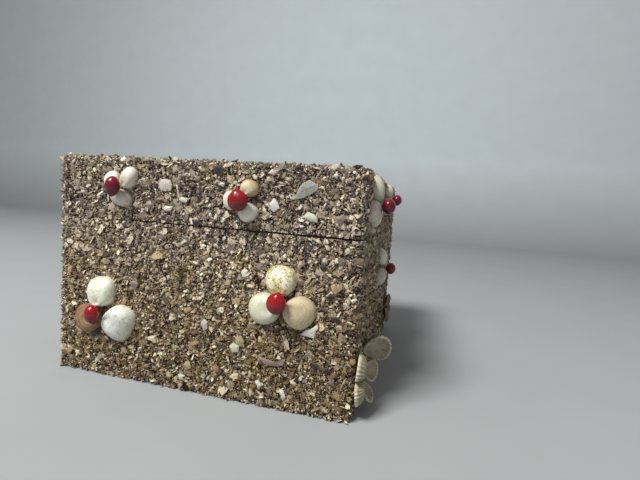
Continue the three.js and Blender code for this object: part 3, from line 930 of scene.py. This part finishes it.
# %% The cockle's finish
def cockle_finish(name, ground, rib_colour, rim, inner):
    """Ribs, growth zones, a pale rim and a lining of their own colours."""
    finish, tree, shader = new_finish(name)
    growth = mark(tree, "growth")
    rib = ramp(tree, mark(tree, "rib"), [(0.0, 0.0), (0.8, 1.0)])
    colour = mix(tree, maths(tree, "MULTIPLY", rib, 0.6), ground, rib_colour)
    age = maths(tree, "ADD", growth, maths(tree, "MULTIPLY", noise(tree, 4, 3), 0.3))
    zone = ramp(tree, age, [(0.55, 0.55), (0.75, 1.0), (0.95, 0.8)])
    colour = mix(tree, 0.6, colour, zone, "MULTIPLY")
    rim_share = ramp(tree, growth, [(0.93, 0.0), (0.99, 0.8)])
    colour = mix(tree, rim_share, colour, rim)
    lining = mix(tree, maths(tree, "MULTIPLY", rib, 0.7), inner, rim)
    colour = mix(tree, mark(tree, "inside"), colour, lining)
    stain = ramp(tree, noise(tree, 2.2, 4), [(0.32, (0.55, 0.46, 0.32)), (0.60, 1.0)])
    colour = mix(tree, 0.7, colour, stain, "MULTIPLY")
    plug(tree, shader.inputs["Base Color"], colour)
    dull = ramp(tree, noise(tree, 1.5, 3), [(0.3, 0.5), (0.7, 0.75)])
    plug(tree, shader.inputs["Roughness"], dull)
    bumps(tree, noise(tree, 0.4, 3), 0.06, shader)
    return finish


# Each row is the ground, the ribs, the rim and the lining.
COCKLES = {
    "grey_cockle": ((0.34, 0.30, 0.23), (0.46, 0.41, 0.33), (0.66, 0.62, 0.52), (0.46, 0.41, 0.33)),
    "pale_cockle": ((0.44, 0.39, 0.25), (0.56, 0.50, 0.34), (0.86, 0.82, 0.68), (0.58, 0.54, 0.42)),
    # For the rosette at the back: browner than the others, and darker as painted shade.
    "shaded_brown_cockle": ((0.28, 0.20, 0.13), (0.38, 0.29, 0.20), (0.50, 0.42, 0.32), (0.34, 0.26, 0.19)),
}
COCKLE_FINISHES = {name: cockle_finish(name, *colours) for name, colours in COCKLES.items()}
print("cockle finishes:", ", ".join(COCKLE_FINISHES))

# %% The petals: direction, length, width, height, lean and finish
PETALS = {
    "rosette_front": [(28, 12.4, 14, 4, 72, "grey_cockle"), (146, 9.6, 10.4, 3.8, 8, "pale_cockle"),
                      (218, 9.6, 10.4, 3.8, 8, "pale_cockle"), (280, 8.8, 8.4, 3, 34, "grey_cockle"),
                      (342, 9, 9, 3, 38, "grey_cockle")],
    # The back rosette's petals take the browner cockle finish, painted darker as shade.
    "rosette_back": [(54 + 72 * i, 7.4, 7, 3, 22, "shaded_brown_cockle") for i in range(5)],
}
# A petal that leans more than this shows its hollow side.
LYING_LEAN = 30
for rosette, petals in PETALS.items():
    for i, (direction, length, width, height, lean, finish) in enumerate(petals, 1):
        node = f"{rosette}_petal_{i}"
        points, faces, marks = cockle_valve(length, width, height)
        flip = math.pi if lean > LYING_LEAN else 0.0
        placed = on_wall(points, "right", direction, middle_of(node), lean, flip)
        shell_piece(f"cockle_{rosette}_{i}", placed, faces, COCKLE_FINISHES[finish], [node],
                    marks, smooth=True)
print("cockle petals set:", sum(len(p) for p in PETALS.values()))

# %% [markdown]
# ## Large broken chips
#
# Between the flowers a few large chips catch the eye: a rounded grey-white one, a blue-grey piece
# of mussel, white splinters. Each is a thin curved plate, given by the corners of its outline in
# millimetres. The outline is walked in short steps, each moved a hair, so the edge looks broken.

# %% A thin curved chip
CHIP_DOME, CHIP_THICK, CHIP_ROUGH = 0.5, 0.45, 0.07
CHIP_RINGS, CHIP_CORNERS = 7, 40


def big_chip(rng, outline):
    """A chip with that outline. Returns points, faces and the mark growth."""
    corners = np.array(outline + outline[:1], float)
    walked = np.append(0, np.cumsum(np.linalg.norm(np.diff(corners, axis=0), axis=1)))
    stops = np.linspace(0, walked[-1], CHIP_CORNERS + 1)[:-1]
    rim = np.stack([np.interp(stops, walked, corners[:, i]) for i in (0, 1)], 1)
    rim += rng.normal(0, CHIP_ROUGH, rim.shape)
    middle = corners[:-1].mean(0)
    steps = np.linspace(0.12, 1, CHIP_RINGS)
    flat = middle + steps[:, None, None] * (rim - middle)
    rise = (CHIP_DOME * (1 - steps**2))[:, None, None] + np.zeros((CHIP_RINGS, CHIP_CORNERS, 1))
    upper, lower = (np.concatenate([flat, rise + side * CHIP_THICK / 2], -1) for side in (1, -1))
    points, faces = closed_skin(np.concatenate([upper, lower[::-1]]), upper[0].mean(0), lower[0].mean(0))
    growth = np.append(np.repeat(np.concatenate([steps, steps[::-1]]), CHIP_CORNERS), [0, 0])
    return points, facing_out(points, faces), {"growth": growth}


# %% More finishes for chips
CHIP_SHELLS = {
    "mussel": ("mussel_chip", (0.19, 0.23, 0.26), (0.46, 0.46, 0.40), (0.10, 0.11, 0.19), 0.7,
               (0.46, 0.44, 0.28), 0.5, (0.10, 0.10, 0.12), 0.3, 3, 0.28),
    "olive_chip": ("olive_chip", (0.40, 0.35, 0.18), (0.52, 0.45, 0.27), (0.30, 0.25, 0.12), 0.4,
                   (0.60, 0.54, 0.34), 0.4, BROWN, 0.2, 4),
    "mauve_chip": ("mauve_chip", (0.22, 0.16, 0.145), (0.41, 0.32, 0.27), (0.18, 0.12, 0.12), 0.5,
                   (0.36, 0.28, 0.24), 0.5, BROWN, 0.3, 5),
    # Near-black plates for the darkest spots; those under and beside the seeds are painted shadow in deep
    # gaps.
    "plum_chip_and_shadow": ("plum_chip_and_shadow", (0.020, 0.012, 0.015), (0.05, 0.034, 0.038), (0.015, 0.008, 0.01), 0.6,
                  (0.09, 0.06, 0.06), 0.3, (0.02, 0.01, 0.01), 0.3, 5, 0.6),
}
SHELL_FINISHES |= {key: shell_finish(*recipe) for key, recipe in CHIP_SHELLS.items()}
print("chip finishes:", ", ".join(CHIP_SHELLS))

# %% Where the chips lie on the front: across, up, finish, outline clockwise from the left
CHIPS = {
    "rounded_square": (-14.5, 88.0, "grey", [
        (-3.2, 0), (-2.6, 2.2), (0, 2.7), (2.6, 2.2), (3.2, 0), (2.6, -2.0), (0, -2.6), (-2.4, -2.2)]),
    "sliver": (-8.4, 86.0, "ribbed", [(-0.8, 2.4), (-0.3, 2.5), (0.8, -2.2), (0.3, -2.5)]),
    "green_white": (-5.9, 82.4, "cream", [(-2, 0), (-1, 1.1), (1.8, 0.8), (2, -0.7), (0, -1.2)]),
    "white_leaf": (-12.9, 78.2, "ribbed", [(-2.2, 0), (-1, 1.2), (2.4, 1.1), (1.5, -0.6), (-0.6, -1.2)]),
    "small_white": (11.4, 89.6, "white", [(-1.5, 0), (0, 1), (1.5, 0.7), (0.9, -0.9)]),
    "dark_top": (9.6, 95.4, "plum_chip_and_shadow", [(-2.2, 0.6), (-1, 1.8), (2.0, 1.4), (1.8, -1.8), (-1.2, -1.9)]),
    "dark_seam": (0.6, 73.6, "plum_chip_and_shadow", [(-1.8, 0.3), (0, 1.5), (1.8, 0.6), (0.9, -0.9), (-1.2, -0.9)]),
    "mussel": (46.9, 89.4, "mussel", [
        (-5.2, -3.8), (-3.6, 0.2), (-1.9, 2.9), (0.5, 4.0), (4.3, 2.4), (3.8, 0), (-1, -2.9)]),
    "white_triangle": (33.6, 82.8, "white", [
        (-3.5, 0.2), (-1.2, 1.0), (0.4, 3.0), (2.0, 1.1), (2.7, -0.8), (0.4, -2.7)]),
    "pale_low_lid": (49.2, 79.3, "cream", [
        (-3.3, -0.2), (-1.4, 1.9), (1.4, 1.0), (2.6, -0.2), (2.6, -1.9), (0, -1.7)]),
    "mauve_lid": (61.2, 79.0, "mauve_chip", [(-2.1, 0.5), (1.2, 2.1), (2.1, 0.5), (0.2, -2.4), (-1.2, -1.4)]),
    "white_top": (58.0, 95.2, "white", [(-1.2, 0), (0, 1.2), (1.2, 0.4), (0.5, -1.1)]),
    "white_top_pair": (33.6, 95.6, "pink", [(-2.2, -0.6), (-0.6, 1.4), (0.4, 0.6), (2.6, 1.2), (0.4, -1.0)]),
    "under_flower": (51.8, 35.2, "white", [
        (-4.0, -1.6), (-1.8, 0.4), (0.6, 1.6), (2.6, 3.2),
        (3.2, 2.2), (2.0, -0.6), (1.6, -2.5), (-1.6, -2.0)]),
    "mauve_curl": (37.0, 20.4, "mauve_chip", [
        (-6, 1.2), (-1.5, 0.7), (2.5, -0.1), (6, 2.6), (4.8, -0.6), (1, -1.6), (-3, -1.2)]),
    "white_low": (42.4, 7.4, "white", [(-1.5, 2.3), (0.6, 1.8), (1.6, -0.6), (0.5, -2.4), (-0.7, 0.2)]),
    "olive_low": (-0.9, 12.2, "olive_chip", [
        (-1.8, 0.4), (-0.6, 2.2), (1.2, 1.6), (1.8, -0.8), (-0.2, -1.6)]),
    "curl_low": (-3.6, 6.6, "cream", [
        (-1.6, 0.6), (-0.2, 1.6), (1.8, 0.6), (0.8, 0.2), (1.4, -1.6), (-0.9, -1.2)]),
    "olive_middle": (22.8, 26.6, "olive_chip", [
        (-2.0, 1.2), (0.4, 2.4), (2.0, 0), (0.6, -2.4), (-1.8, -1.4)]),
    "pale_by_flower": (23.3, 54.9, "ribbed", [
        (-1.6, 0.4), (-0.2, 2.0), (1.4, 1.2), (0.9, -1.4), (-0.6, -1.8)]),
    "dark_right_1": (59.2, 49.6, "plum_chip_and_shadow", [(-2.0, -0.4), (0, 1.8), (1.9, 1.0), (1.2, -1.2)]),
    "dark_right_2": (61.8, 41.0, "plum_chip_and_shadow", [(-2.4, 0.8), (0.6, 1.2), (2.2, 0.2), (0.4, -1.0)]),
    "dark_right_3": (60.1, 20.2, "plum_chip_and_shadow", [(-1.5, 0.6), (0.2, 1.8), (1.5, 0.2), (0.4, -1.8)]),
    "dark_right_4": (55.3, 21.2, "plum_chip_and_shadow", [(-1.8, 1.2), (0.8, 1.5), (1.6, -0.6), (-0.4, -1.6)]),
    # These two near-black plates, under one seed and beside another, are painted shadow in gaps of the crust.
    "shadow_under_seed": (-48.0, 21.0, "plum_chip_and_shadow", [(-3.2, 0.6), (0, 2.8), (3.0, 1.6), (1.8, -2.2), (-1.8, -2.0)]),
    "shadow_by_seed": (27.6, 84.4, "plum_chip_and_shadow", [(-1.6, 0.8), (0.6, 1.4), (1.6, -0.2), (-0.4, -1.4)]),
    "dark_right_5": (55.7, 60.4, "plum_chip_and_shadow", [(-1.6, 0.4), (0.2, 1.6), (1.8, 0.2), (0.2, -1.4)]),
    "oval_middle": (6.4, 31.0, "grey", [(-1.6, 0.5), (-0.3, 2.6), (1.5, 1.4), (1.4, -1.6), (-0.2, -2.8)]),
    "green_low": (20.5, 23.3, "cream", [(-2.4, 0.6), (-0.6, 2.2), (2.2, 1.2), (1.8, -1.4), (-0.8, -2.2)]),
    "ribbed_low": (31.9, 9.7, "ribbed", [(-1.4, 1.4), (0.2, 2.2), (1.6, 0), (0.2, -2.4)]),
    "mauve_streak": (-20.8, 59.5, "mauve_chip", [(-1.6, -2.2), (-0.6, 0.4), (1.2, 2.4), (0.8, -0.2)]),
    "brown_bit": (-36.6, 34.4, "brown", [(-1.4, 0.4), (0, 1.3), (1.5, 0.3), (0, -1.2)]),
    "mauve_left": (-28.6, 44.0, "mauve_chip", [
        (-2.2, 0.6), (-0.4, 2.0), (2.2, 0.8), (0.9, -1.8), (-1.4, -1.4)]),
    "mauve_lid_left": (-22.6, 79.0, "mauve_chip", [(-1.8, 0.2), (0, 1.6), (1.9, 0.6), (0.6, -1.4)]),
}
CHIP_SEED, CHIP_LIFT, CHIP_LEAN = 5, 0.85, 7
rng = np.random.default_rng(CHIP_SEED)
for name, (across, up, finish, outline) in CHIPS.items():
    points, faces, marks = big_chip(rng, outline)
    lean = rng.uniform(-CHIP_LEAN, CHIP_LEAN)
    placed = on_wall(points, "front", 90, (across, -HALF - CHIP_LIFT, up), lean)
    shell_piece(f"chip_{name}", placed, faces, SHELL_FINISHES[finish], [], marks)
print("large chips laid:", len(CHIPS))

# %% [markdown]
# ## The wood
#
# The wood shows only inside the seam, under the box and inside it once the lid is off. It is thin
# plain board with a brown stain. Long stretched clouds make its grain. The wood's shape is the
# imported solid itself, so it only gets this finish.

# %% Board finish
STAINS = [(0.35, (0.09, 0.045, 0.022)), (0.50, (0.19, 0.105, 0.055)), (0.68, (0.27, 0.16, 0.09))]
LONG_GRAIN, LONG_PORES = (0.06, 1, 1), (0.1, 1, 1)


def board_finish():
    """Brown stain over a grain that runs from left to right."""
    finish, tree, shader = new_finish("stained_board")
    grain = noise(tree, 1.6, 5, 0.6, LONG_GRAIN)
    colour = ramp(tree, grain, STAINS)
    pores = ramp(tree, noise(tree, 0.5, 3, 0.6, LONG_PORES), [(0.36, 0.5), (0.46, 1.0)])
    plug(tree, shader.inputs["Base Color"], mix(tree, 0.7, colour, pores, "MULTIPLY"))
    plug(tree, shader.inputs["Roughness"], ramp(tree, grain, [(0.3, 0.75), (0.7, 0.5)]))
    bumps(tree, grain, 0.15, shader)
    return finish


stained_board = board_finish()
for node in ("box_body", "box_lid"):
    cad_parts[node].data.materials.clear()
    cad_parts[node].data.materials.append(stained_board)
    print(node, "is", stained_board.name)

# %% [markdown]
# ## Floor, light and camera
#
# The box stands on a plain pale floor that turns up into a pale backdrop. One large soft light
# comes from the front left and above, so the front wall is bright and the right-hand one falls
# into shade. The camera is close and wide, and tilted a little, as when it is held in a hand.

# %% The floor and its backdrop, in metres
WIDE, NEAR, FAR, TALL, BEND = 3.0, 1.5, 1.2, 2.2, 0.3
FLOOR_GREY, WALL_BLUE, WALL_HEIGHT = (0.37, 0.385, 0.40), (0.70, 0.775, 0.83), 0.25


def sweep(name, finish):
    """A floor that curves up into a wall, as a strip of quads."""
    steps = np.linspace(0, np.pi / 2, 17)
    curve = [(FAR - BEND + BEND * math.sin(a), BEND - BEND * math.cos(a)) for a in steps]
    line = [(-NEAR, 0.0), *curve, (FAR, TALL)]
    points = [(x, y, z) for y, z in line for x in (-WIDE, WIDE)]
    quads = [(2 * i, 2 * i + 1, 2 * i + 3, 2 * i + 2) for i in range(len(line) - 1)]
    mesh = bpy.data.meshes.new(name)
    mesh.from_pydata(points, [], quads)
    mesh.polygons.foreach_set("use_smooth", [True] * len(quads))
    mesh.materials.append(finish)
    studio = bpy.data.objects.new(name, mesh)
    bpy.context.scene.collection.objects.link(studio)


paper, paper_tree, paper_shader = new_finish("pale_paper")
height_of = paper_tree.nodes.new("ShaderNodeSeparateXYZ")
place = paper_tree.nodes.new("ShaderNodeTexCoord")
paper_tree.links.new(place.outputs["Object"], height_of.inputs["Vector"])
fade = ramp(paper_tree, height_of.outputs["Z"], [(0.0, FLOOR_GREY), (WALL_HEIGHT, WALL_BLUE)])
fibres = ramp(paper_tree, noise(paper_tree, 60, 3), [(0.3, 0.96), (0.7, 1.0)])
plug(paper_tree, paper_shader.inputs["Base Color"], mix(paper_tree, 1.0, fade, fibres, "MULTIPLY"))
paper_shader.inputs["Roughness"].default_value = 0.9
sweep("pale_floor", paper)
print("the floor is", 2 * WIDE, "m wide, and its backdrop", TALL, "m tall")


# %% The light
def soft_light(name, place, aim, size, watts, colour):
    """A square lamp at place, turned to aim."""
    lamp = bpy.data.lights.new(name, "AREA")
    lamp.shape = "RECTANGLE"
    lamp.size = lamp.size_y = size
    lamp.energy = watts
    lamp.color = colour
    holder = bpy.data.objects.new(name, lamp)
    holder.location = place
    holder.rotation_euler = (Vector(aim) - Vector(place)).to_track_quat("-Z", "Y").to_euler()
    bpy.context.scene.collection.objects.link(holder)
    print(name, "shines with", watts, "watts")


soft_light("window", (-0.36, -0.74, 1.18), (0, 0, 0.05), 0.42, 24.5, (0.99, 1.0, 0.96))
world = bpy.data.worlds.new("studio")
bpy.context.scene.world = world
world.use_nodes = True
background = world.node_tree.nodes["Background"]
background.inputs["Color"].default_value = (0.95, 0.91, 0.86, 1)
background.inputs["Strength"].default_value = 0.27
bpy.context.scene.view_settings.view_transform = "Standard"

# %% The camera
CAMERA_PLACE = Vector((0.0903, -0.2147, 0.0845))
LOOK = Vector((-0.2454, 0.9651, -0.0909)).normalized()
HEAD = Vector((-0.0887, 0.0710, 0.9935))
camera_data = bpy.data.cameras.new("camera")
camera_data.lens = 22.1
camera_data.sensor_width = 36
camera_data.clip_start = 0.01
camera = bpy.data.objects.new("camera", camera_data)
right_hand = LOOK.cross(HEAD).normalized()
turned = Matrix((right_hand, right_hand.cross(LOOK), -LOOK)).transposed()
camera.matrix_world = Matrix.Translation(CAMERA_PLACE) @ turned.to_4x4()
bpy.context.scene.collection.objects.link(camera)
bpy.context.scene.camera = camera
print("camera is", round(camera.location.length, 3), "m from the middle of the underside")
